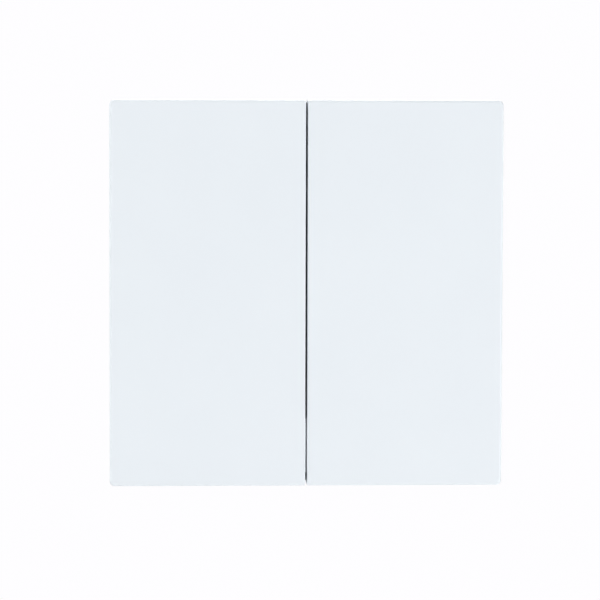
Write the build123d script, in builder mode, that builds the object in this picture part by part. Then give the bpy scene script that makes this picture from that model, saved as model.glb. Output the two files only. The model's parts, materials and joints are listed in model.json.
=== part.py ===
from build123d import *
from math import asin, degrees
import os

# Two-gang light switch with full-face rockers, for a flush wall box with 60.3 mm screw centres.
# X runs to the right, Y into the wall and Z up. The origin is midway between the two fixing
# slots, in the wall plane. Heights are measured from the wall towards the room (-Y) and depths
# from the wall into the box (+Y). All lengths are in millimetres and all angles in degrees.
# Both rockers are stored with their lower end pressed, which closes the upper contact of
# each gang.

# Rocker caps, the only pieces seen from the front
plate_width = 87.6
plate_height = 86.0
seam_gap = 0.46
face_height = 11.5
skirt_lift = 2.6
cap_wall = 1.8
cap_edge_radius = 0.7
seam_edge_radius = 0.25
cap_corner_radius = 1.1
cap_inner_radius = 0.8
cap_rib_width = 0.9
cap_rib_depth = 1.2
cap_rib_pitch_x = 8.4
cap_rib_pitch_z = 12.0
cap_rib_margin = 2.6
seam_pad_height = 0.09
seam_pad_length = 12.0
seam_pad_z = -34.0

# Rocker pivot, shared by the tumblers and the outer hooks of the caps
pivot_height = 4.6
rest_tilt = 3.0
running_clearance = 0.05

# Mounting frame
frame_side_setback = 0.3
frame_end_setback = 0.4
frame_base = 1.8
frame_corner_radius = 1.2
frame_edge_radius = 0.4
frame_back_recess = 0.7
frame_back_rib_inset = 0.3
frame_rim_width = 2.4
frame_seat_margin = 1.5
ridge_top_gap = 2.7
ridge_wall = 1.4
ridge_corner_radius = 1.0
ridge_top_chamfer = 0.3
ridge_side_gap = 0.6
ridge_end_gap = 0.8
ridge_seam_gap = 0.8
ridge_seam_start = 6.0
frame_rib_width = 1.0
frame_rib_height = 1.6
frame_rib_z = 32.0
pry_notch_radius = 5.0
pry_notch_depth = 1.3

# Fixing slots
screw_spacing = 60.3
slot_width = 4.2
slot_length = 8.6
slot_boss_margin = 2.4
slot_boss_height = 0.8

# Tumbler and its bearings in the frame
tumbler_width = 15.2
tumbler_plate_length = 17.0
tumbler_plate_thickness = 1.5
tumbler_corner_radius = 0.6
tumbler_body_length = 6.4
trunnion_radius = 1.8
cheek_gap = 0.3
cheek_thickness = 2.0
cheek_half_length = 4.4
cheek_rise = 2.4
cheek_mouth_share = 0.85
window_side_gap = 0.9
window_end_gap = 1.2
window_corner_radius = 1.0
tube_wall = 0.95
tube_end_chamfer = 0.5
tube_end_gap = 4.1
tube_bore_top = 3.2

# Snap legs that hold a cap on its tumbler
pad_ring_size = 13.0
pad_ring_wall = 1.2
pad_ring_height = 1.5
clip_width = 7.6
clip_inner = 5.4
clip_thickness = 1.4
clip_barb = 1.1
clip_barb_height = 1.1
clip_slot_clearance = 0.2
clip_slot_relief = 0.7
clip_seat_clearance = 0.1

# Outer hinge of each cap on the frame
hinge_side_gap = 2.3
hinge_post_thickness = 1.4
hinge_post_half_length = 3.0
hinge_pin_radius = 1.5
hinge_pin_length = 4.2
hook_thickness = 0.9
hook_gap = 0.3
hook_half_length = 2.7
hook_wrap = 1.1
hook_mouth_share = 0.84

# Plunger and spring
plunger_radius = 2.0
plunger_side_gap = 0.15
plunger_guide_length = 4.0
plunger_nose_radius = 1.6
plunger_tail_radius = 1.05
plunger_tail_length = 3.0
plunger_gap = 0.08
spring_side_gap = 0.35
spring_wire_radius = 0.2
spring_wire_flat_count = 8
spring_turns = 6
spring_end_gap = 0.05

# Seesaw contact
seesaw_thickness = 0.8
seesaw_width = 5.4
seesaw_end_gap = 1.6
seesaw_corner_radius = 1.2
seesaw_tab_radius = 0.5
seesaw_tab_reach = 1.3
seesaw_flange_height = 1.0
seesaw_flange_thickness = 0.6
seesaw_flange_length = 9.0
seesaw_flange_corner = 0.6
contact_throw = 1.476
contact_gap = 0.124
moving_tip_end_gap = 1.5
moving_tip_radius = 1.6
moving_tip_thickness = 0.9
moving_tip_dome = 5.0
moving_tip_rivet_radius = 1.0
moving_tip_head_radius = 1.3
moving_tip_head_height = 0.35

# Fixed contacts and common bracket, stamped from one gauge of strip
strip_thickness = 0.8
fixed_tip_radius = 1.9
fixed_tip_thickness = 0.65
fixed_tip_chamfer = 0.15
fixed_tip_offset = 0.3
strip_width = 4.6
contact_root_reach = 2.6
contact_head_gap = 0.6
bracket_leg_gap = 0.3
bracket_leg_half_length = 2.2
bracket_foot_half_length = 2.6
bracket_notch_clearance = 0.1
bracket_leg_rise = 0.6

# Terminal blocks and screws
terminal_offset = 6.0
terminal_end_wall = 1.45
block_size = 7.6
block_height = 8.3
block_chamfer = 0.4
wire_bore_radius = 2.1
wire_bore_rise = 5.05
screw_thread_radius = 1.7
screw_hole_clearance = 0.05
screw_head_radius = 2.8
screw_head_height = 1.85
screw_head_chamfer = 0.35
screw_head_lift = 0.1
screw_tip_chamfer = 0.3
screw_tip_gap = 0.1
screw_slot_width = 0.9
screw_slot_depth = 1.0
screw_turn = 35.0
strip_hole_clearance = 0.3

# Housing behind the frame
housing_width = 50.0
housing_height = 44.0
housing_depth = 18.0
housing_wall = 1.8
housing_corner_radius = 2.0
housing_edge_chamfer = 0.6
housing_floor = 2.15
chamber_side_wall = 2.2
chamber_end_wall = 1.05
chamber_corner_radius = 1.0
pocket_gap = 0.15
passage_gap = 0.7
core_wall = 1.2
screw_well_gap = 0.3
collar_wall = 1.3
collar_height = 1.5
barrier_thickness = 1.2
barrier_margin = 1.0
barrier_end_margin = 4.0
wire_entry_margin = 0.2
wire_funnel_flare = 0.8
wire_funnel_depth = 0.7
latch_width = 5.2
latch_thickness = 1.3
latch_root_depth = 9.0
latch_flex_gap = 0.5
latch_barb = 0.9
latch_barb_height = 1.5
latch_slot_clearance = 0.3
latch_seat_clearance = 0.05
side_rib_count = 5
side_rib_pitch = 6.0
side_rib_width = 1.4
side_rib_height = 0.6
side_rib_margin = 1.5

# Sizes that follow from the ones above, first the caps and the frame
cap_width = (plate_width - seam_gap) / 2
cap_centre_x = (cap_width + seam_gap) / 2
cap_underside = face_height - cap_wall
skirt_height = frame_base + skirt_lift
frame_width = plate_width - 2 * frame_side_setback
frame_height = plate_height - 2 * frame_end_setback
ridge_height = cap_underside - ridge_top_gap
ridge_outer_x = plate_width / 2 - cap_wall - ridge_side_gap
ridge_inner_x = seam_gap / 2 + cap_wall + ridge_seam_gap
ridge_end_z = plate_height / 2 - cap_wall - ridge_end_gap
ridge_middle_x = (ridge_inner_x + ridge_outer_x) / 2
ridge_span = ridge_outer_x - ridge_inner_x
hinge_post_x = ridge_outer_x - ridge_wall - hinge_side_gap
frame_rib_x = housing_width / 2
latch_inner_z = housing_height / 2 + latch_flex_gap
latch_outer_z = latch_inner_z + latch_thickness
frame_seat_z = latch_outer_z + latch_slot_clearance + frame_seat_margin

# Housing, terminals and contacts, from the housing's outside inwards
gang_offset = housing_width / 4
pocket_size = block_size + 2 * pocket_gap
terminal_z = housing_height / 2 - terminal_end_wall - pocket_size / 2
chamber_half_width = gang_offset - chamber_side_wall
chamber_half_height = terminal_z - pocket_size / 2 - chamber_end_wall
strip_floor_depth = housing_depth - housing_floor
strip_face = strip_floor_depth - strip_thickness
wire_bore_depth = strip_face - wire_bore_rise
wire_entry_radius = wire_bore_radius + wire_entry_margin
wire_funnel_radius = wire_entry_radius + wire_funnel_flare
screw_seat = strip_floor_depth + screw_head_lift
screw_well_radius = screw_head_radius + screw_well_gap
seesaw_length = 2 * (chamber_half_height - seesaw_end_gap)
contact_arm = seesaw_length / 2 - moving_tip_end_gap
seesaw_rest_angle = -degrees(asin(contact_throw / contact_arm))
seesaw_back = strip_face - fixed_tip_thickness - contact_gap - contact_throw - moving_tip_thickness
seesaw_depth = seesaw_back - seesaw_thickness / 2
seesaw_face = seesaw_back - seesaw_thickness
fixed_tip_z = contact_arm + fixed_tip_offset
contact_root = fixed_tip_z - contact_root_reach
leg_inner = seesaw_width / 2 + bracket_leg_gap
leg_outer = leg_inner + strip_thickness

# Tumbler, plunger and snap legs
tumbler_plate_top = cap_underside - pad_ring_height
tumbler_plate_bottom = tumbler_plate_top - tumbler_plate_thickness
cheek_inner = tumbler_width / 2 + cheek_gap
cheek_outer = cheek_inner + cheek_thickness
tube_bore_radius = plunger_radius + plunger_side_gap
tube_radius = tube_bore_radius + tube_wall
tube_end_depth = seesaw_face - tube_end_gap
plunger_shoulder_depth = tube_end_depth - plunger_guide_length
spring_outer_radius = tube_bore_radius - spring_side_gap
window_width = 2 * (tube_radius + window_side_gap)
window_length = 2 * (tube_radius + window_end_gap)
clip_outer = clip_inner + clip_thickness
pivot_axis = Axis((0, -pivot_height, 0), (1, 0, 0))
seesaw_axis = Axis((0, seesaw_depth, 0), (1, 0, 0))
sides = {"left": -1, "right": 1}


def at_height(height):
    """Plane parallel to the wall, facing the room, at a height in front of it."""
    return Plane.XZ.offset(height)


def at_depth(depth):
    """Plane parallel to the wall, facing the room, at a depth behind it."""
    return Plane.XZ.offset(-depth)


def at_x(x):
    """Plane across the switch, whose local axes are world Y and world Z."""
    return Plane.YZ.offset(x)


def terminal_places(side):
    """Name, x and z of the three terminals of one gang."""
    gang_x = side * gang_offset
    return {
        "common": (gang_x - side * terminal_offset, terminal_z),
        "upper": (gang_x + side * terminal_offset, terminal_z),
        "lower": (gang_x, -terminal_z),
    }


def latch_places():
    """x and vertical sense of the four latch arms of the housing."""
    bottom_x = (gang_offset + wire_funnel_radius + housing_width / 2) / 2
    top = [(side * gang_offset, 1) for side in sides.values()]
    bottom = [(side * bottom_x, -1) for side in sides.values()]
    return top + bottom


def core_places():
    """x, z and width of the cores that keep the housing's walls even."""
    between = 2 * terminal_offset - pocket_size - 2 * core_wall
    middle_inner = barrier_thickness / 2
    middle_outer = gang_offset - pocket_size / 2 - core_wall
    corner_inner = gang_offset + pocket_size / 2 + core_wall
    corner_outer = housing_width / 2 - housing_wall
    cores = []
    for side in sides.values():
        cores.append((side * gang_offset, terminal_z, between))
        for inner, outer in ((middle_inner, middle_outer), (corner_inner, corner_outer)):
            cores.append((side * (inner + outer) / 2, -terminal_z, outer - inner))
    return cores


def all_terminals():
    """x and z of all six terminals."""
    return [place for side in sides.values() for place in terminal_places(side).values()]


def rocker_cap(side):
    """One full-height key plate: a shallow shell with ribs, two snap legs and two outer hooks."""
    middle_x = side * cap_centre_x
    gang_x = side * gang_offset
    cavity_height = cap_underside - skirt_height
    with BuildPart() as cap:
        with BuildSketch(at_height(skirt_height)):
            with Locations((middle_x, 0)):
                Rectangle(cap_width, plate_height)
        extrude(amount=face_height - skirt_height)
        corners = cap.edges().filter_by(Axis.Y).sort_by(Axis.X)
        fillet(corners[-2:] if side > 0 else corners[:2], cap_corner_radius)
        face = cap.faces().sort_by(Axis.Y)[0]
        seam_edge = face.edges().filter_by(Axis.Z).sort_by_distance(Vector(0, -face_height, 0))[0]
        fillet([edge for edge in face.edges() if edge != seam_edge], cap_edge_radius)
        face = cap.faces().filter_by(Axis.Y).sort_by(Axis.Y)[0]
        seam_edge = face.edges().filter_by(Axis.Z).sort_by_distance(Vector(0, -face_height, 0))[0]
        fillet(seam_edge, seam_edge_radius)

        # hollow behind the face
        with BuildSketch(at_height(skirt_height)):
            with Locations((middle_x, 0)):
                RectangleRounded(
                    cap_width - 2 * cap_wall, plate_height - 2 * cap_wall, cap_inner_radius
                )
        extrude(amount=cavity_height, mode=Mode.SUBTRACT)

        # low pad that narrows the seam near its lower end
        pad_top = face_height - seam_edge_radius
        with BuildSketch(at_height(skirt_height)):
            with Locations((side * seam_gap / 2, seam_pad_z)):
                Rectangle(2 * seam_pad_height, seam_pad_length)
        extrude(amount=pad_top - skirt_height)

        # grid of stiffening ribs, short of the frame's ridge
        rib_span_x = ridge_span - 2 * (ridge_wall + cap_rib_margin)
        rib_span_z = 2 * (ridge_end_z - ridge_wall - cap_rib_margin)
        columns = int(rib_span_x // cap_rib_pitch_x) + 1
        rows = int(rib_span_z // cap_rib_pitch_z) + 1
        with BuildSketch(at_height(cap_underside)):
            with Locations((side * ridge_middle_x, 0)):
                with GridLocations(cap_rib_pitch_x, 0, columns, 1):
                    Rectangle(cap_rib_width, rib_span_z)
                with GridLocations(0, cap_rib_pitch_z, 1, rows):
                    Rectangle(rib_span_x, cap_rib_width)
        extrude(amount=-cap_rib_depth)

        # ring that seats on the tumbler's plate
        with BuildSketch(at_height(tumbler_plate_top)):
            with Locations((gang_x, 0)):
                Rectangle(pad_ring_size, pad_ring_size)
                Rectangle(
                    pad_ring_size - 2 * pad_ring_wall,
                    pad_ring_size - 2 * pad_ring_wall,
                    mode=Mode.SUBTRACT,
                )
        extrude(amount=cap_underside - tumbler_plate_top)

        # two snap legs with barbs behind the tumbler's plate
        barb_top = tumbler_plate_bottom - clip_seat_clearance
        barb_end = barb_top - clip_barb_height
        with BuildSketch(at_x(gang_x)):
            with BuildLine():
                Polyline(
                    (-cap_underside, clip_inner),
                    (-barb_end, clip_inner),
                    (-barb_end, clip_outer),
                    (-barb_top, clip_outer + clip_barb),
                    (-barb_top, clip_outer),
                    (-cap_underside, clip_outer),
                    close=True,
                )
            make_face()
            mirror(about=Plane.XZ)
        extrude(amount=clip_width / 2, both=True)

        # two hooks that snap on the frame's hinge pin
        hook_centre = hinge_post_thickness / 2 + hook_gap + hook_thickness / 2
        hook_bore = hinge_pin_radius + running_clearance
        hook_end = pivot_height - hook_wrap
        for hook_x in (hinge_post_x - hook_centre, hinge_post_x + hook_centre):
            with BuildSketch(at_x(side * hook_x)):
                with Locations((-(cap_underside + hook_end) / 2, 0)):
                    Rectangle(cap_underside - hook_end, 2 * hook_half_length)
                with Locations((-pivot_height, 0)):
                    Circle(hook_bore, mode=Mode.SUBTRACT)
                with Locations((-hook_end, 0)):
                    Rectangle(
                        2 * hook_wrap, 2 * hook_bore * hook_mouth_share, mode=Mode.SUBTRACT
                    )
            extrude(amount=hook_thickness / 2, both=True)
    return cap.part.rotate(pivot_axis, rest_tilt)


def tumbler(side):
    """Inner rocker: a slotted plate over a trunnion bar, with the plunger's tube behind it."""
    gang_x = side * gang_offset
    with BuildPart() as body:
        with BuildSketch(at_height(tumbler_plate_bottom)):
            with Locations((gang_x, 0)):
                RectangleRounded(tumbler_width, tumbler_plate_length, tumbler_corner_radius)
        extrude(amount=tumbler_plate_thickness)

        # bar between the cheeks, rounded under the pivot
        with BuildSketch(at_x(gang_x)):
            with Locations((-pivot_height, 0)):
                Circle(trunnion_radius)
            with BuildLine():
                Polyline(
                    (-pivot_height, -trunnion_radius),
                    (-pivot_height, trunnion_radius),
                    (-tumbler_plate_bottom, tumbler_body_length / 2),
                    (-tumbler_plate_bottom, -tumbler_body_length / 2),
                    close=True,
                )
            make_face()
        extrude(amount=tumbler_width / 2, both=True)

        # trunnions, running in the cheeks of the frame
        with BuildSketch(at_x(gang_x)):
            with Locations((-pivot_height, 0)):
                Circle(trunnion_radius)
        extrude(amount=cheek_outer, both=True)

        # tube for the spring and plunger
        with BuildSketch(at_depth(tube_end_depth)):
            with Locations((gang_x, 0)):
                Circle(tube_radius)
        extrude(amount=tube_end_depth + pivot_height)
        chamfer(body.edges().group_by(Axis.Y)[-1], tube_end_chamfer)
        with BuildSketch(at_depth(tube_end_depth)):
            with Locations((gang_x, 0)):
                Circle(tube_bore_radius)
        extrude(amount=tube_end_depth + tube_bore_top, mode=Mode.SUBTRACT)

        # slots for the cap's snap legs
        slot_inner = clip_inner - clip_slot_clearance
        slot_outer = clip_outer + clip_slot_relief
        with BuildSketch(at_height(tumbler_plate_bottom)):
            for sense in (-1, 1):
                with Locations((gang_x, sense * (slot_inner + slot_outer) / 2)):
                    Rectangle(clip_width + 2 * clip_slot_clearance, slot_outer - slot_inner)
        extrude(amount=tumbler_plate_thickness, mode=Mode.SUBTRACT)
    return body.part.rotate(pivot_axis, rest_tilt)


def plunger(side):
    """Turned nylon plunger: tail inside the spring, guided body, and a round nose."""
    gang_x = side * gang_offset
    nose_depth = seesaw_face - plunger_gap
    nose_centre = nose_depth - plunger_nose_radius
    tail_end = plunger_shoulder_depth - plunger_tail_length
    body_end = nose_centre - (plunger_radius - plunger_nose_radius)
    with BuildPart() as pin:
        with BuildSketch(Plane.XY):
            with BuildLine():
                Polyline(
                    (gang_x, nose_depth),
                    (gang_x, tail_end),
                    (gang_x + plunger_tail_radius, tail_end),
                    (gang_x + plunger_tail_radius, plunger_shoulder_depth),
                    (gang_x + plunger_radius, plunger_shoulder_depth),
                    (gang_x + plunger_radius, body_end),
                    (gang_x + plunger_nose_radius, nose_centre),
                )
                CenterArc((gang_x, nose_centre), plunger_nose_radius, 0, 90)
            make_face()
        revolve(axis=Axis((gang_x, 0, 0), (0, 1, 0)))
    return pin.part.rotate(pivot_axis, rest_tilt)


def plunger_spring(side):
    """Compression spring, its wire drawn with flats, from the tumbler's bore to the plunger."""
    gang_x = side * gang_offset
    start = -tube_bore_top + spring_end_gap + spring_wire_radius
    end = plunger_shoulder_depth - spring_end_gap - spring_wire_radius
    coil_radius = spring_outer_radius - spring_wire_radius
    pitch = (end - start) / spring_turns
    with BuildPart() as spring:
        with BuildLine():
            path = Helix(
                pitch=pitch,
                height=end - start,
                radius=coil_radius,
                center=(gang_x, start, 0),
                direction=(0, 1, 0),
            )
        with BuildSketch(Plane(origin=path @ 0, z_dir=path % 0)):
            RegularPolygon(spring_wire_radius, spring_wire_flat_count)
        sweep(is_frenet=True)
    return spring.part.rotate(pivot_axis, rest_tilt)


def seesaw(side):
    """Rocking contact: a flanged brass strip with two round pivot tabs."""
    gang_x = side * gang_offset
    flange_x = seesaw_width / 2 - seesaw_flange_thickness / 2
    with BuildPart() as strip:
        with BuildSketch(at_depth(seesaw_back)):
            with Locations((gang_x, 0)):
                RectangleRounded(seesaw_width, seesaw_length, seesaw_corner_radius)
        extrude(amount=seesaw_thickness)
        with BuildSketch(at_depth(seesaw_face)):
            for sense in (-1, 1):
                with Locations((gang_x + sense * flange_x, 0)):
                    Rectangle(seesaw_flange_thickness, seesaw_flange_length)
        extrude(amount=seesaw_flange_height)
        ends = strip.edges().filter_by(Axis.X).group_by(Axis.Y)[0]
        chamfer(ends, seesaw_flange_corner)
        with BuildSketch(at_x(gang_x)):
            with Locations((seesaw_depth, 0)):
                Circle(seesaw_tab_radius)
        extrude(amount=seesaw_width / 2 + seesaw_tab_reach, both=True)
        with BuildSketch(at_depth(seesaw_back)):
            for sense in (-1, 1):
                with Locations((gang_x, sense * contact_arm)):
                    Circle(moving_tip_rivet_radius)
        extrude(amount=seesaw_thickness, mode=Mode.SUBTRACT)
    return strip.part.rotate(seesaw_axis, seesaw_rest_angle)


def seesaw_tips(side):
    """Two silver rivets of the seesaw, domed towards the fixed contacts."""
    gang_x = side * gang_offset
    dome_height = moving_tip_dome - (moving_tip_dome**2 - moving_tip_radius**2) ** 0.5
    rim_depth = seesaw_back + moving_tip_thickness - dome_height
    head_depth = seesaw_face - moving_tip_head_height
    with BuildPart() as tips:
        for sense in (-1, 1):
            tip_z = sense * contact_arm
            with BuildSketch(Plane.YZ.offset(gang_x)):
                with BuildLine():
                    Polyline(
                        (seesaw_back + moving_tip_thickness, tip_z),
                        (head_depth, tip_z),
                        (head_depth, tip_z + moving_tip_head_radius),
                        (seesaw_face, tip_z + moving_tip_head_radius),
                        (seesaw_face, tip_z + moving_tip_rivet_radius),
                        (seesaw_back, tip_z + moving_tip_rivet_radius),
                        (seesaw_back, tip_z + moving_tip_radius),
                        (rim_depth, tip_z + moving_tip_radius),
                    )
                    RadiusArc(
                        (rim_depth, tip_z + moving_tip_radius),
                        (seesaw_back + moving_tip_thickness, tip_z),
                        moving_tip_dome,
                    )
                make_face()
            revolve(axis=Axis((gang_x, 0, tip_z), (0, 1, 0)))
    return tips.part.rotate(seesaw_axis, seesaw_rest_angle)


def common_bracket(side):
    """Stamped bracket: two notched legs that carry the seesaw, and a tail to the terminal."""
    gang_x = side * gang_offset
    tail_x, screw_z = terminal_places(side)["common"]
    tail_end = screw_z + block_size / 2
    foot = bracket_foot_half_length
    with BuildPart() as bracket:
        with BuildSketch(at_depth(strip_floor_depth)):
            with Locations((gang_x, 0)):
                Rectangle(2 * leg_outer, 2 * foot)
            with Locations(((gang_x + tail_x) / 2, 0)):
                Rectangle(abs(gang_x - tail_x), 2 * foot)
            with Locations((tail_x, (tail_end - foot) / 2)):
                Rectangle(strip_width, tail_end + foot)
            with Locations((tail_x, screw_z)):
                Circle(screw_thread_radius + strip_hole_clearance, mode=Mode.SUBTRACT)
        extrude(amount=strip_thickness)
        leg_top = seesaw_depth - bracket_leg_rise
        for sense in (-1, 1):
            leg_x = gang_x + sense * (leg_inner + leg_outer) / 2
            with BuildSketch(at_x(leg_x)):
                with BuildLine():
                    Polyline(
                        (strip_floor_depth, -foot),
                        (leg_top, -bracket_leg_half_length),
                        (leg_top, bracket_leg_half_length),
                        (strip_floor_depth, foot),
                        close=True,
                    )
                make_face()
                notch = seesaw_tab_radius + bracket_notch_clearance
                with Locations((seesaw_depth, 0)):
                    Circle(notch, mode=Mode.SUBTRACT)
                with Locations((leg_top, 0)):
                    Rectangle(2 * bracket_leg_rise, 2 * notch, mode=Mode.SUBTRACT)
            extrude(amount=strip_thickness / 2, both=True)
    return bracket.part


def fixed_contact(side, level):
    """Stamped strip that carries one fixed tip and runs under its terminal block."""
    gang_x = side * gang_offset
    tail_x, screw_z = terminal_places(side)[level]
    sense = 1 if screw_z > 0 else -1
    head_end = chamber_half_height - contact_head_gap
    tail_end = abs(screw_z) + block_size / 2
    with BuildPart() as contact:
        with BuildSketch(at_depth(strip_floor_depth)):
            with Locations(((gang_x + tail_x) / 2, sense * (contact_root + head_end) / 2)):
                Rectangle(abs(gang_x - tail_x) + strip_width, head_end - contact_root)
            with Locations((tail_x, sense * (contact_root + tail_end) / 2)):
                Rectangle(strip_width, tail_end - contact_root)
            with Locations((tail_x, screw_z)):
                Circle(screw_thread_radius + strip_hole_clearance, mode=Mode.SUBTRACT)
        extrude(amount=strip_thickness)
    return contact.part


def fixed_tips(side):
    """Two silver discs on the fixed contacts of one gang."""
    gang_x = side * gang_offset
    with BuildPart() as tips:
        with BuildSketch(at_depth(strip_face)):
            for sense in (-1, 1):
                with Locations((gang_x, sense * fixed_tip_z)):
                    Circle(fixed_tip_radius)
        extrude(amount=fixed_tip_thickness)
        chamfer(tips.edges().group_by(Axis.Y)[0], fixed_tip_chamfer)
    return tips.part


def terminal_block(x, z):
    """Brass block with a wire tunnel along Z and a tapped hole from behind."""
    with BuildPart() as block:
        with BuildSketch(at_depth(strip_face)):
            with Locations((x, z)):
                Rectangle(block_size, block_size)
        extrude(amount=block_height)
        chamfer(block.edges(), block_chamfer)
        with BuildSketch(Plane.XY.offset(z - block_size / 2)):
            with Locations((x, wire_bore_depth)):
                Circle(wire_bore_radius)
        extrude(amount=block_size, mode=Mode.SUBTRACT)
        with BuildSketch(at_depth(strip_face)):
            with Locations((x, z)):
                Circle(screw_thread_radius + screw_hole_clearance)
        extrude(amount=strip_face - wire_bore_depth, mode=Mode.SUBTRACT)
    return block.part


def terminal_screws():
    """Six cheese-head screws with driver slots, backed out to leave the wire tunnels free."""
    tip = wire_bore_depth + wire_bore_radius + screw_tip_gap
    head_top = screw_seat + screw_head_height
    places = all_terminals()
    with BuildPart() as screws:
        with BuildSketch(at_depth(head_top)):
            with Locations(*places):
                Circle(screw_head_radius)
        extrude(amount=screw_head_height)
        chamfer(screws.edges().group_by(Axis.Y)[-1], screw_head_chamfer)
        with BuildSketch(at_depth(screw_seat)):
            with Locations(*places):
                Circle(screw_thread_radius)
        extrude(amount=screw_seat - tip)
        chamfer(screws.edges().group_by(Axis.Y)[0], screw_tip_chamfer)
        with BuildSketch(at_depth(head_top)):
            for turn, place in enumerate(places):
                with Locations(place):
                    Rectangle(
                        2 * screw_head_radius, screw_slot_width, rotation=turn * screw_turn
                    )
        extrude(amount=screw_slot_depth, mode=Mode.SUBTRACT)
    return screws.part


def mounting_frame():
    """Dark frame: base plate on the wall, ridges inside the caps, bearings and fixing slots."""
    with BuildPart() as frame:
        with BuildSketch(at_height(0)):
            RectangleRounded(frame_width, frame_height, frame_corner_radius)
        extrude(amount=frame_base)
        fillet(frame.edges().group_by(Axis.Y)[0], frame_edge_radius)

        # ridges that run just inside the skirts of the caps
        with BuildSketch(at_height(frame_base)):
            for side in sides.values():
                with Locations((side * ridge_middle_x, 0)):
                    RectangleRounded(ridge_span, 2 * ridge_end_z, ridge_corner_radius)
                    Rectangle(
                        ridge_span - 2 * ridge_wall,
                        2 * (ridge_end_z - ridge_wall),
                        mode=Mode.SUBTRACT,
                    )
            Rectangle(2 * (ridge_inner_x + ridge_wall), 2 * ridge_seam_start, mode=Mode.SUBTRACT)
        extrude(amount=ridge_height - frame_base)
        chamfer(frame.edges().group_by(Axis.Y)[0], ridge_top_chamfer)

        # stiffening ribs between the ridges and the bearings
        with BuildSketch(at_height(frame_base)):
            with GridLocations(2 * ridge_middle_x, 2 * frame_rib_z, 2, 2):
                Rectangle(ridge_span - ridge_wall, frame_rib_width)
            with GridLocations(2 * frame_rib_x, 0, 2, 1):
                Rectangle(frame_rib_width, 2 * ridge_end_z - ridge_wall)
        extrude(amount=frame_rib_height)

        # bosses round the fixing slots
        with BuildSketch(at_height(frame_base)):
            with GridLocations(screw_spacing, 0, 2, 1):
                SlotOverall(
                    slot_length + 2 * slot_boss_margin, slot_width + 2 * slot_boss_margin
                )
        extrude(amount=slot_boss_height)

        # cheeks that carry the tumblers' trunnions
        notch_radius = trunnion_radius + running_clearance
        cheek_top = pivot_height + cheek_rise
        for side in sides.values():
            for sense in (-1, 1):
                cheek_x = side * gang_offset + sense * (cheek_inner + cheek_outer) / 2
                with BuildSketch(at_x(cheek_x)):
                    with Locations((-(frame_base + cheek_top) / 2, 0)):
                        Rectangle(cheek_top - frame_base, 2 * cheek_half_length)
                    with Locations((-pivot_height, 0)):
                        Circle(notch_radius, mode=Mode.SUBTRACT)
                    with Locations((-cheek_top, 0)):
                        Rectangle(
                            2 * cheek_rise,
                            2 * notch_radius * cheek_mouth_share,
                            mode=Mode.SUBTRACT,
                        )
                extrude(amount=cheek_thickness / 2, both=True)

        # outer hinge posts with their pins
        post_top = pivot_height + hinge_pin_radius
        for side in sides.values():
            with BuildSketch(at_x(side * hinge_post_x)):
                with Locations((-(frame_base + post_top) / 2, 0)):
                    Rectangle(post_top - frame_base, 2 * hinge_post_half_length)
            extrude(amount=hinge_post_thickness / 2, both=True)
            with BuildSketch(at_x(side * hinge_post_x)):
                with Locations((-pivot_height, 0)):
                    Circle(hinge_pin_radius)
            extrude(amount=hinge_pin_length / 2, both=True)

        # shallow recess behind, leaving a rim, the slot bosses and the housing's seat
        with BuildSketch(at_height(0)):
            Rectangle(frame_width - 2 * frame_rim_width, frame_height - 2 * frame_rim_width)
            Rectangle(
                housing_width + 2 * frame_seat_margin, 2 * frame_seat_z, mode=Mode.SUBTRACT
            )
            with GridLocations(screw_spacing, 0, 2, 1):
                SlotOverall(
                    slot_length + 2 * slot_boss_margin,
                    slot_width + 2 * slot_boss_margin,
                    mode=Mode.SUBTRACT,
                )
        extrude(amount=frame_back_recess, mode=Mode.SUBTRACT)

        # ribs in the recess, lower than the rim
        with BuildSketch(at_height(frame_back_rib_inset)):
            with GridLocations(0, 2 * frame_rib_z, 1, 2):
                Rectangle(frame_width - frame_rim_width, frame_rib_width)
            for sense in (-1, 1):
                with Locations((0, sense * (frame_rib_z + frame_seat_z) / 2)):
                    with GridLocations(2 * frame_rib_x, 0, 2, 1):
                        Rectangle(frame_rib_width, frame_rib_z - frame_seat_z)
        extrude(amount=frame_back_recess - frame_back_rib_inset)

        # openings: fixing slots, tube windows, latch slots and pry notches
        with BuildSketch(at_height(0)):
            with GridLocations(screw_spacing, 0, 2, 1):
                SlotOverall(slot_length, slot_width)
            with GridLocations(2 * gang_offset, 0, 2, 1):
                RectangleRounded(window_width, window_length, window_corner_radius)
            for latch_x, sense in latch_places():
                with Locations((latch_x, sense * (latch_inner_z + latch_outer_z) / 2)):
                    Rectangle(
                        latch_width + 2 * latch_slot_clearance,
                        latch_thickness + 2 * latch_slot_clearance,
                    )
            notch_z = -(frame_height / 2 + pry_notch_radius - pry_notch_depth)
            with Locations((-cap_centre_x, notch_z), (cap_centre_x, notch_z)):
                Circle(pry_notch_radius)
        extrude(amount=ridge_height, mode=Mode.SUBTRACT)
    return frame.part


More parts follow.
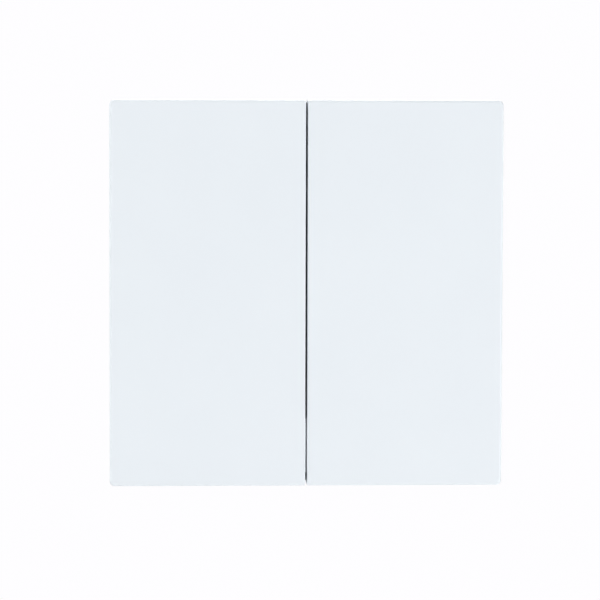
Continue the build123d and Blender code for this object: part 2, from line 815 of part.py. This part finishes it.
def housing():
    """Dark moulded housing: two contact chambers, six terminal pockets and four latches."""
    places = all_terminals()
    with BuildPart() as box:
        with BuildSketch(at_height(0)):
            RectangleRounded(housing_width, housing_height, housing_corner_radius)
        extrude(amount=-housing_depth)
        chamfer(box.edges().group_by(Axis.Y)[-1], housing_edge_chamfer)

        # ribs on the two long sides
        with BuildSketch(at_depth(side_rib_margin)):
            with GridLocations(housing_width, side_rib_pitch, 2, side_rib_count):
                Rectangle(2 * side_rib_height, side_rib_width)
        extrude(amount=2 * side_rib_margin - housing_depth)

        # collars round the screws and barriers between the terminals
        with BuildSketch(at_depth(housing_depth)):
            with Locations(*places):
                Circle(screw_well_radius + collar_wall)
            for barrier_place in (
                (-gang_offset, terminal_z),
                (0, terminal_z),
                (gang_offset, terminal_z),
                (0, -terminal_z),
            ):
                with Locations(barrier_place):
                    Rectangle(barrier_thickness, block_size + 2 * barrier_margin)
            Rectangle(housing_width - 2 * barrier_end_margin, barrier_thickness)
        extrude(amount=-collar_height)

        # chambers, terminal pockets, strip passages and cores, open to the frame
        with BuildSketch(at_depth(strip_floor_depth)):
            with GridLocations(2 * gang_offset, 0, 2, 1):
                RectangleRounded(
                    2 * chamber_half_width, 2 * chamber_half_height, chamber_corner_radius
                )
            for x, z in places:
                with Locations((x, z)):
                    Rectangle(pocket_size, pocket_size)
                with Locations((x, z / 2)):
                    Rectangle(strip_width + passage_gap, abs(z))
            for core_x, core_z, core_width in core_places():
                with Locations((core_x, core_z)):
                    Rectangle(core_width, pocket_size)
        extrude(amount=strip_floor_depth, mode=Mode.SUBTRACT)

        # wells for the screw heads
        with BuildSketch(at_depth(housing_depth + collar_height)):
            with Locations(*places):
                Circle(screw_well_radius)
        extrude(amount=housing_depth + collar_height - strip_floor_depth, mode=Mode.SUBTRACT)

        # wire entries with a funnel mouth, through the top and bottom walls
        for x, z in places:
            sense = 1 if z > 0 else -1
            entry = Plane(
                origin=(x, wire_bore_depth, sense * housing_height / 2),
                x_dir=(1, 0, 0),
                z_dir=(0, 0, sense),
            )
            with BuildSketch(entry):
                Circle(wire_entry_radius)
            extrude(amount=terminal_z - housing_height / 2, mode=Mode.SUBTRACT)
            with BuildSketch(entry):
                Circle(wire_funnel_radius)
            with BuildSketch(entry.offset(-wire_funnel_depth)):
                Circle(wire_entry_radius)
            loft(mode=Mode.SUBTRACT)

        # latch arms, each free of the wall down to its root
        barb_bottom = frame_base + latch_seat_clearance
        barb_top = barb_bottom + latch_barb_height
        root_start = latch_root_depth - latch_thickness
        root_end = latch_root_depth + latch_thickness
        for latch_x, sense in latch_places():
            with BuildSketch(at_x(latch_x)):
                with BuildLine():
                    Polyline(
                        (root_end, sense * housing_height / 2),
                        (latch_root_depth, sense * latch_outer_z),
                        (-barb_bottom, sense * latch_outer_z),
                        (-barb_bottom, sense * (latch_outer_z + latch_barb)),
                        (-barb_top, sense * latch_outer_z),
                        (-barb_top, sense * latch_inner_z),
                        (root_start, sense * latch_inner_z),
                        (root_start, sense * housing_height / 2),
                        close=True,
                    )
                make_face()
            extrude(amount=latch_width / 2, both=True)
    return box.part


def write(name, part):
    """Labels a finished piece and writes it to its own file."""
    part.label = name
    export_step(part, f"parts/{name}.step")


os.makedirs("parts", exist_ok=True)
write("mounting_frame", mounting_frame())
write("housing", housing())
write("terminal_screws", terminal_screws())
for name, side in sides.items():
    write(f"{name}_rocker_cap", rocker_cap(side))
    write(f"{name}_tumbler", tumbler(side))
    write(f"{name}_plunger", plunger(side))
    write(f"{name}_plunger_spring", plunger_spring(side))
    write(f"{name}_seesaw", seesaw(side))
    write(f"{name}_seesaw_tips", seesaw_tips(side))
    write(f"{name}_common_bracket", common_bracket(side))
    write(f"{name}_upper_contact", fixed_contact(side, "upper"))
    write(f"{name}_lower_contact", fixed_contact(side, "lower"))
    write(f"{name}_fixed_tips", fixed_tips(side))
    for terminal, (x, z) in terminal_places(side).items():
        write(f"{name}_{terminal}_terminal_block", terminal_block(x, z))
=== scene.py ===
import bmesh
import bpy
import json
import math
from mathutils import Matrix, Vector


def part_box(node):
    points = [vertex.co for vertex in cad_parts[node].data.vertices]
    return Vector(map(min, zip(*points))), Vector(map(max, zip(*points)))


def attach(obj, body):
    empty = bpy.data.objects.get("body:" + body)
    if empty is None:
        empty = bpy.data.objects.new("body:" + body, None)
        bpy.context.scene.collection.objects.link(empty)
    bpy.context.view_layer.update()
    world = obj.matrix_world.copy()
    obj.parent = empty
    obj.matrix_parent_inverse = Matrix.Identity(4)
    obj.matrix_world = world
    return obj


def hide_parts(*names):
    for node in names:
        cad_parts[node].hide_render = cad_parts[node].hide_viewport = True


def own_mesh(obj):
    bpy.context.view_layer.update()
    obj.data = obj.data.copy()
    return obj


# Looks of the two-gang light switch: finishes, round-wire springs, camera and light.
# Places and sizes are in metres, X to the right, Y into the wall and Z up.

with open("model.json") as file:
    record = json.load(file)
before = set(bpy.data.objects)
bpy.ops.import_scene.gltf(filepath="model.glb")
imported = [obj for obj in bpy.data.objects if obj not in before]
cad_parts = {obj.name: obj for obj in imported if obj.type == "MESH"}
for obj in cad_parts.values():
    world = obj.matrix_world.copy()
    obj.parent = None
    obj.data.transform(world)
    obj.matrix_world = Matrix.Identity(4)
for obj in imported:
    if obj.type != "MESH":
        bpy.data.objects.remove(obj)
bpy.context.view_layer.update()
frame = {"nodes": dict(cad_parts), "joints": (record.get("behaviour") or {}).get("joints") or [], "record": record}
record = frame["record"]
nodes = frame["nodes"]
MM = 0.001
SIDES = ("left", "right")

# Camera, in a square picture
CAMERA_PLACE = Vector((-35.87, -750.0, 14.56)) * MM
CAMERA_TARGET = Vector((-1.47, -11.5, -1.72)) * MM
CAMERA_LENS = 199.47
SENSOR_WIDTH = 36.0
CAMERA_NEAR = 0.01
CAMERA_FAR = 50.0

# Springs
WIRE_RADIUS = 0.2 * MM
SPRING_TURNS = 7
CLOSED_TURNS = 1
STEPS_PER_TURN = 36
WIRE_SIDES = 12
SHARP_EDGE = math.radians(35.0)

# Surface patterns: noise scales per millimetre, with their detail
CLOUDS = {"scale": 0.05, "detail": 1.0, "roughness": 0.55}
SMUDGES = {"scale": 0.1, "detail": 2.0, "roughness": 0.55}
TARNISH = {"scale": 0.6, "detail": 5.0, "roughness": 0.6}
GRAIN = {"detail": 3.0, "roughness": 0.55}
DRAWN_LINES = {"detail": 2.0, "roughness": 0.55}
COLOUR_SPREAD = (0.3, 0.7)
GRAIN_STRENGTH = 0.35
LINE_STRENGTH = 0.4

# Light, with powers in watts; every lamp is aimed at the origin
WORLD_SEEN = 1.0
WORLD_FILL = 0.16
WORLD_MIRRORED = 0.45
BACKGROUND_COLOUR = (0.991, 0.985, 1.0, 1.0)
LAMP_SIZE = 1.3
LAMPS = {
    "front_right": ((0.95, -0.75, -0.65), 15.5),
    "front_left": ((-1.1, -0.9, 0.1), 8.5),
    "side_right": ((1.2, -0.55, 1.3), 15.0),
    "side_left": ((-1.2, -0.55, 1.3), 15.0),
    "edge_left": ((-1.6, 0.15, 0.0), 9.0),
    "back": ((0.3, 1.5, 0.9), 12.0),
}
MIRRORED_LAMPS = ("back",)

# Floor, with its own white growing from the near distance to the far one
FLOOR_DROP = 1.3
FLOOR_SIZE = 8.0
FLOOR_COLOUR = (0.9, 0.9, 0.9, 1.0)
FLOOR_NEAR = 0.3
FLOOR_FAR = 1.6
FLOOR_NEAR_WHITE = 0.86
FLOOR_FAR_WHITE = 1.0


def record_joint(name):
    """A joint of the record, by name."""
    return next(joint for joint in frame["joints"] if joint["name"] == name)


# Materials

def new_material(name):
    """A new node material, with its tree, its shader and object coordinates in millimetres."""
    material = bpy.data.materials.new(name)
    material.use_nodes = True
    tree = material.node_tree
    shader = tree.nodes["Principled BSDF"]
    coordinates = tree.nodes.new("ShaderNodeTexCoord")
    scale = tree.nodes.new("ShaderNodeVectorMath")
    scale.operation = "SCALE"
    scale.inputs["Scale"].default_value = 1 / MM
    tree.links.new(coordinates.outputs["Object"], scale.inputs[0])
    return material, tree, shader, scale.outputs["Vector"]


def noise(tree, vector, scale, detail, roughness, stretch=(1.0, 1.0, 1.0)):
    """Noise of a given scale per millimetre, optionally stretched along an axis."""
    mapping = tree.nodes.new("ShaderNodeMapping")
    mapping.inputs["Scale"].default_value = stretch
    tree.links.new(vector, mapping.inputs["Vector"])
    texture = tree.nodes.new("ShaderNodeTexNoise")
    texture.inputs["Scale"].default_value = scale
    texture.inputs["Detail"].default_value = detail
    texture.inputs["Roughness"].default_value = roughness
    tree.links.new(mapping.outputs["Vector"], texture.inputs["Vector"])
    return texture.outputs["Fac"]


def colour_ramp(tree, factor, low, high):
    """Blend between two colours over the middle of a factor."""
    ramp = tree.nodes.new("ShaderNodeValToRGB")
    for element, position, colour in zip(ramp.color_ramp.elements, COLOUR_SPREAD, (low, high)):
        element.position = position
        element.color = (*colour, 1.0)
    tree.links.new(factor, ramp.inputs["Fac"])
    return ramp.outputs["Color"]


def value_range(tree, factor, low, high):
    """Factor from 0 to 1 mapped to a range of values."""
    mapped = tree.nodes.new("ShaderNodeMapRange")
    mapped.inputs["To Min"].default_value = low
    mapped.inputs["To Max"].default_value = high
    tree.links.new(factor, mapped.inputs["Value"])
    return mapped.outputs["Result"]


def bump(tree, height, strength, depth):
    """Bump from a height factor, with the depth in millimetres."""
    node = tree.nodes.new("ShaderNodeBump")
    node.inputs["Strength"].default_value = strength
    node.inputs["Distance"].default_value = depth * MM
    tree.links.new(height, node.inputs["Height"])
    return node.outputs["Normal"]


def moulded_plastic(name, low, high, roughness, grain=None, grain_depth=0.0):
    """Moulded plastic: faint cloudiness in the colour, uneven gloss and, if matt, mould grain."""
    material, tree, shader, place = new_material(name)
    clouds = noise(tree, place, **CLOUDS)
    smudges = noise(tree, place, **SMUDGES)
    tree.links.new(colour_ramp(tree, clouds, low, high), shader.inputs["Base Color"])
    tree.links.new(value_range(tree, smudges, *roughness), shader.inputs["Roughness"])
    if grain is not None:
        texture = noise(tree, place, grain, **GRAIN)
        tree.links.new(bump(tree, texture, GRAIN_STRENGTH, grain_depth), shader.inputs["Normal"])
    return material


def metal(name, low, high, roughness, stretch, grain, grain_depth):
    """Bare metal: drawing or machining lines along one axis and slight tarnish."""
    material, tree, shader, place = new_material(name)
    tarnish = noise(tree, place, **TARNISH)
    lines = noise(tree, place, grain, **DRAWN_LINES, stretch=stretch)
    tree.links.new(colour_ramp(tree, tarnish, low, high), shader.inputs["Base Color"])
    tree.links.new(value_range(tree, tarnish, *roughness), shader.inputs["Roughness"])
    tree.links.new(bump(tree, lines, LINE_STRENGTH, grain_depth), shader.inputs["Normal"])
    shader.inputs["Metallic"].default_value = 1.0
    return material


MATERIALS = {
    "cap": moulded_plastic(
        "white_gloss_moulding",
        (0.796, 0.842, 0.882), (0.806, 0.852, 0.890),
        roughness=(0.30, 0.34),
    ),
    "frame": moulded_plastic(
        "anthracite_satin_moulding",
        (0.050, 0.051, 0.055), (0.062, 0.063, 0.068),
        roughness=(0.45, 0.58), grain=6.0, grain_depth=0.02,
    ),
    "housing": moulded_plastic(
        "dark_grey_moulding",
        (0.030, 0.031, 0.034), (0.042, 0.043, 0.047),
        roughness=(0.48, 0.66), grain=5.0, grain_depth=0.05,
    ),
    "tumbler": moulded_plastic(
        "ivory_moulding",
        (0.66, 0.61, 0.49), (0.71, 0.66, 0.54),
        roughness=(0.38, 0.50), grain=4.0, grain_depth=0.02,
    ),
    "plunger": moulded_plastic(
        "natural_nylon",
        (0.70, 0.67, 0.57), (0.76, 0.73, 0.63),
        roughness=(0.30, 0.42), grain=3.0, grain_depth=0.015,
    ),
    "spring": metal(
        "spring_wire",
        (0.50, 0.50, 0.52), (0.62, 0.62, 0.64),
        roughness=(0.22, 0.36), stretch=(1.0, 6.0, 1.0), grain=3.0, grain_depth=0.01,
    ),
    "contact_strip": metal(
        "copper_alloy_strip",
        (0.72, 0.40, 0.22), (0.82, 0.52, 0.32),
        roughness=(0.28, 0.42), stretch=(8.0, 1.0, 0.4), grain=2.0, grain_depth=0.015,
    ),
    "silver_tip": metal(
        "silver",
        (0.78, 0.77, 0.73), (0.88, 0.87, 0.84),
        roughness=(0.26, 0.38), stretch=(1.0, 1.0, 1.0), grain=6.0, grain_depth=0.01,
    ),
    "terminal": metal(
        "machined_brass",
        (0.70, 0.50, 0.20), (0.80, 0.61, 0.29),
        roughness=(0.24, 0.40), stretch=(1.0, 8.0, 1.0), grain=3.0, grain_depth=0.02,
    ),
    "screw": metal(
        "zinc_plate",
        (0.56, 0.55, 0.50), (0.68, 0.67, 0.63),
        roughness=(0.26, 0.42), stretch=(1.0, 1.0, 1.0), grain=5.0, grain_depth=0.02,
    ),
}


def dress_frame():
    """Gives each carried-over node the material of its slot."""
    for part in record["subparts"]:
        mesh = nodes[part["node"]].data
        mesh.materials.clear()
        mesh.materials.append(MATERIALS[part["material_slot"]])


# Springs, in the places of the plainer ones

def add_piece(name, mesh, body, slot):
    """Puts a finished mesh in the scene, on its body and with its slot's material."""
    piece = bpy.data.objects.new(name, mesh)
    bpy.context.scene.collection.objects.link(piece)
    mesh.materials.append(MATERIALS[slot])
    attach(piece, body)
    return piece


def finished_mesh(name, shape):
    """Turns a bmesh into a mesh with outward faces, smooth but for its sharp edges."""
    bmesh.ops.recalc_face_normals(shape, faces=shape.faces)
    for face in shape.faces:
        face.smooth = True
    for edge in shape.edges:
        if len(edge.link_faces) == 2:
            edge.smooth = edge.calc_face_angle() < SHARP_EDGE
    mesh = bpy.data.meshes.new(name)
    shape.to_mesh(mesh)
    shape.free()
    return mesh


def tube_mesh(name, points, radius, sides):
    """Closed round tube along a list of points."""
    shape = bmesh.new()
    rings = []
    for index, point in enumerate(points):
        ahead = points[min(index + 1, len(points) - 1)]
        behind = points[max(index - 1, 0)]
        turn = (ahead - behind).to_track_quat("Z", "Y")
        ring = []
        for side in range(sides):
            angle = 2 * math.pi * side / sides
            offset = Vector((math.cos(angle), math.sin(angle), 0)) * radius
            ring.append(shape.verts.new(point + turn @ offset))
        rings.append(ring)
    for lower, upper in zip(rings, rings[1:]):
        start = min(range(sides), key=lambda k: (upper[k].co - lower[0].co).length)
        for side in range(sides):
            following = (side + 1) % sides
            shape.faces.new((
                lower[side],
                lower[following],
                upper[(start + following) % sides],
                upper[(start + side) % sides],
            ))
    shape.faces.new(reversed(rings[0]))
    shape.faces.new(rings[-1])
    return finished_mesh(name, shape)


def coil_rise(turn, reach):
    """Height of the wire's centre after some turns, with flat closed turns at both ends."""
    closed_pitch = 2 * WIRE_RADIUS
    if turn < CLOSED_TURNS:
        return closed_pitch * turn
    if turn > SPRING_TURNS - CLOSED_TURNS:
        return reach - closed_pitch * (SPRING_TURNS - turn)
    closed = closed_pitch * CLOSED_TURNS
    open_turns = SPRING_TURNS - 2 * CLOSED_TURNS
    return closed + (reach - 2 * closed) * (turn - CLOSED_TURNS) / open_turns


def add_spring(side):
    """Round-wire compression spring with closed ends, in the place of the plain one."""
    slide = record_joint(f"{side}_plunger_slide")
    along = -Vector(slide["axis"]).normalized()
    low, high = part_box(f"{side}_plunger_spring")
    outer = (high.x - low.x) / 2
    length = (high.y - low.y - 2 * outer * along.z) / along.y
    centre = (low + high) / 2
    across = Vector((1, 0, 0))
    beside = along.cross(across)
    coil = outer - WIRE_RADIUS
    reach = length - 2 * WIRE_RADIUS
    steps = SPRING_TURNS * STEPS_PER_TURN
    points = []
    for step in range(steps + 1):
        turn = SPRING_TURNS * step / steps
        angle = 2 * math.pi * turn
        ring = across * math.cos(angle) + beside * math.sin(angle)
        points.append(centre + along * (coil_rise(turn, reach) - reach / 2) + ring * coil)
    mesh = tube_mesh(f"{side}_round_spring", points, WIRE_RADIUS, WIRE_SIDES)
    piece = add_piece(f"{side}_round_spring", mesh, f"{side}_rocker", "spring")
    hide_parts(f"{side}_plunger_spring")
    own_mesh(piece)


# Camera, light and floor

def add_camera():
    """Camera before the plate, slightly to its left and turned to face it."""
    data = bpy.data.cameras.new("camera")
    data.sensor_width = SENSOR_WIDTH
    data.sensor_fit = "HORIZONTAL"
    data.lens = CAMERA_LENS
    data.clip_start = CAMERA_NEAR
    data.clip_end = CAMERA_FAR
    camera = bpy.data.objects.new("camera", data)
    camera.location = CAMERA_PLACE
    camera.rotation_euler = (CAMERA_TARGET - CAMERA_PLACE).to_track_quat("-Z", "Y").to_euler()
    bpy.context.scene.collection.objects.link(camera)
    bpy.context.scene.camera = camera


def add_world():
    """White surroundings: full white to the camera, softer in reflections and as a light."""
    world = bpy.data.worlds.new("world")
    bpy.context.scene.world = world
    world.use_nodes = True
    tree = world.node_tree
    tree.nodes.clear()
    path = tree.nodes.new("ShaderNodeLightPath")
    unseen = value_range(tree, path.outputs["Is Glossy Ray"], WORLD_FILL, WORLD_MIRRORED)
    strength = tree.nodes.new("ShaderNodeMapRange")
    strength.inputs["To Max"].default_value = WORLD_SEEN
    tree.links.new(path.outputs["Is Camera Ray"], strength.inputs["Value"])
    tree.links.new(unseen, strength.inputs["To Min"])
    background = tree.nodes.new("ShaderNodeBackground")
    background.inputs["Color"].default_value = BACKGROUND_COLOUR
    tree.links.new(strength.outputs["Result"], background.inputs["Strength"])
    output = tree.nodes.new("ShaderNodeOutputWorld")
    tree.links.new(background.outputs["Background"], output.inputs["Surface"])


def add_lamps():
    """Soft square lamps, of which only some show in reflections."""
    for name, (place, power) in LAMPS.items():
        data = bpy.data.lights.new(name, "AREA")
        data.shape = "SQUARE"
        data.size = LAMP_SIZE
        data.energy = power
        lamp = bpy.data.objects.new(name, data)
        lamp.location = place
        lamp.rotation_euler = (-Vector(place)).to_track_quat("-Z", "Y").to_euler()
        lamp.visible_glossy = name in MIRRORED_LAMPS
        bpy.context.scene.collection.objects.link(lamp)


def floor_material():
    """Pale floor that fades out to the white ground away from the switch."""
    material = bpy.data.materials.new("pale_floor")
    material.use_nodes = True
    tree = material.node_tree
    tree.nodes.clear()
    diffuse = tree.nodes.new("ShaderNodeBsdfDiffuse")
    diffuse.inputs["Color"].default_value = FLOOR_COLOUR
    glow = tree.nodes.new("ShaderNodeEmission")
    glow.inputs["Color"].default_value = BACKGROUND_COLOUR
    coordinates = tree.nodes.new("ShaderNodeTexCoord")
    distance = tree.nodes.new("ShaderNodeVectorMath")
    distance.operation = "LENGTH"
    tree.links.new(coordinates.outputs["Object"], distance.inputs[0])
    fade = tree.nodes.new("ShaderNodeMapRange")
    fade.inputs["From Min"].default_value = FLOOR_NEAR
    fade.inputs["From Max"].default_value = FLOOR_FAR
    fade.inputs["To Min"].default_value = FLOOR_NEAR_WHITE
    fade.inputs["To Max"].default_value = FLOOR_FAR_WHITE
    tree.links.new(distance.outputs["Value"], fade.inputs["Value"])
    path = tree.nodes.new("ShaderNodeLightPath")
    share = tree.nodes.new("ShaderNodeMath")
    share.operation = "MULTIPLY"
    tree.links.new(path.outputs["Is Camera Ray"], share.inputs[0])
    tree.links.new(fade.outputs["Result"], share.inputs[1])
    mix = tree.nodes.new("ShaderNodeMixShader")
    tree.links.new(share.outputs["Value"], mix.inputs["Fac"])
    tree.links.new(diffuse.outputs["BSDF"], mix.inputs[1])
    tree.links.new(glow.outputs["Emission"], mix.inputs[2])
    output = tree.nodes.new("ShaderNodeOutputMaterial")
    tree.links.new(mix.outputs["Shader"], output.inputs["Surface"])
    return material


def add_floor():
    """Square floor well below the switch."""
    mesh = bpy.data.meshes.new("floor")
    grid = bmesh.new()
    bmesh.ops.create_grid(grid, x_segments=1, y_segments=1, size=FLOOR_SIZE / 2)
    grid.to_mesh(mesh)
    grid.free()
    mesh.materials.append(floor_material())
    floor = bpy.data.objects.new("floor", mesh)
    floor.location = (0, 0, -FLOOR_DROP)
    bpy.context.scene.collection.objects.link(floor)


bpy.context.scene.view_settings.view_transform = "Standard"
add_camera()
add_world()
add_lamps()
add_floor()
dress_frame()
for side_name in SIDES:
    add_spring(side_name)
